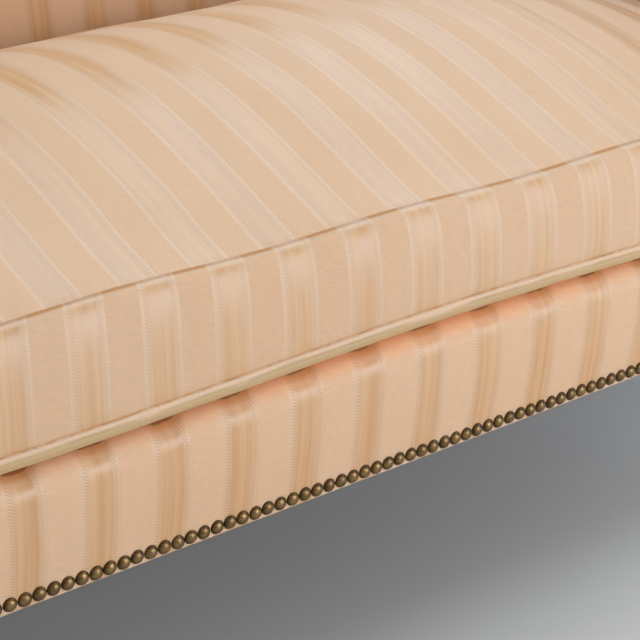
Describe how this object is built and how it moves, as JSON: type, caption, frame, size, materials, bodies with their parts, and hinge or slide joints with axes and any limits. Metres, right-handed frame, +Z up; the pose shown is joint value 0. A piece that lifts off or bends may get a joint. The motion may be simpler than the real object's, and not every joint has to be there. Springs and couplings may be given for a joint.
{
  "type": "upholstered loveseat",
  "caption": "Camel-back loveseat with rolled arms, striped cover, nail-trimmed rails and a loose, welted bench cushion on square legs.",
  "frame": {"origin": "on the floor under the middle of the loveseat's bounding box: the foot of its legs is z = 0", "axes": "+X to the right of someone who looks at the front, along the width; -Y out of the front; +Z up"},
  "size_m": [1.486, 0.8112, 0.9196],
  "materials": {
    "cover_cloth": "matte",
    "welt_cloth": "matte",
    "padding": "matte",
    "burlap": "matte",
    "dust_cloth": "matte",
    "zip_tape": "matte",
    "frame_wood": "matte",
    "show_wood": "satin",
    "nail_brass": "satin",
    "zip_metal": "satin",
    "steel": "satin"
  },
  "bodies": {
    "frame": {"front_seat_rail": "frame_wood", "back_seat_rail": "frame_wood", "side_seat_rail_left": "frame_wood", "side_seat_rail_right": "frame_wood", "seat_cross_rail": "frame_wood", "corner_blocks": "frame_wood", "leg_bolts": "steel", "front_leg_left": "show_wood", "front_leg_right": "show_wood", "rear_leg_left": "show_wood", "rear_leg_right": "show_wood", "leg_glides": "steel", "side_stretcher_left": "show_wood", "side_stretcher_right": "show_wood", "cross_stretcher": "show_wood", "arm_stump_left": "frame_wood", "arm_stump_right": "frame_wood", "arm_top_rail_left": "frame_wood", "arm_top_rail_right": "frame_wood", "arm_tack_rail_left": "frame_wood", "arm_tack_rail_right": "frame_wood", "back_post_left": "frame_wood", "back_post_right": "frame_wood", "back_center_post": "frame_wood", "back_crest_rail": "frame_wood", "back_tack_rail": "frame_wood", "back_webbing": "burlap", "seat_springs": "steel", "spring_clips": "steel", "seat_burlap": "burlap", "edge_roll": "padding", "deck_padding": "padding", "deck_cover": "cover_cloth", "dust_cover": "dust_cloth", "front_rail_padding": "padding", "front_rail_cover": "cover_cloth", "front_nails": "nail_brass", "side_nails": "nail_brass", "arm_pad_left": "padding", "arm_pad_right": "padding", "arm_roll_pad_left": "padding", "arm_roll_pad_right": "padding", "arm_cover_left": "cover_cloth", "arm_cover_right": "cover_cloth", "outside_arm_left": "cover_cloth", "outside_arm_right": "cover_cloth", "arm_facing_left": "cover_cloth", "arm_facing_right": "cover_cloth", "arm_facing_welts": "welt_cloth", "inside_back_pad": "padding", "inside_back_cover": "cover_cloth", "outside_back_cover": "cover_cloth"},
    "seat_cushion": {"cushion_core": "padding", "cushion_bottom_panel": "cover_cloth", "cushion_boxing": "cover_cloth", "cushion_top_panel": "cover_cloth", "cushion_welt": "welt_cloth", "zipper_tape": "zip_tape"},
    "zip": {"zipper_slider": "zip_metal"}
  },
  "joints": [
    {"name": "cushion_lift", "type": "slide", "parent": "frame", "child": "seat_cushion", "axis": [0, 0, 1], "range_m": [0, 0.3]},
    {"name": "zip_slide", "type": "slide", "parent": "seat_cushion", "child": "zip", "axis": [1, 0, 0], "range_m": [0, 0.87]}
  ]
}
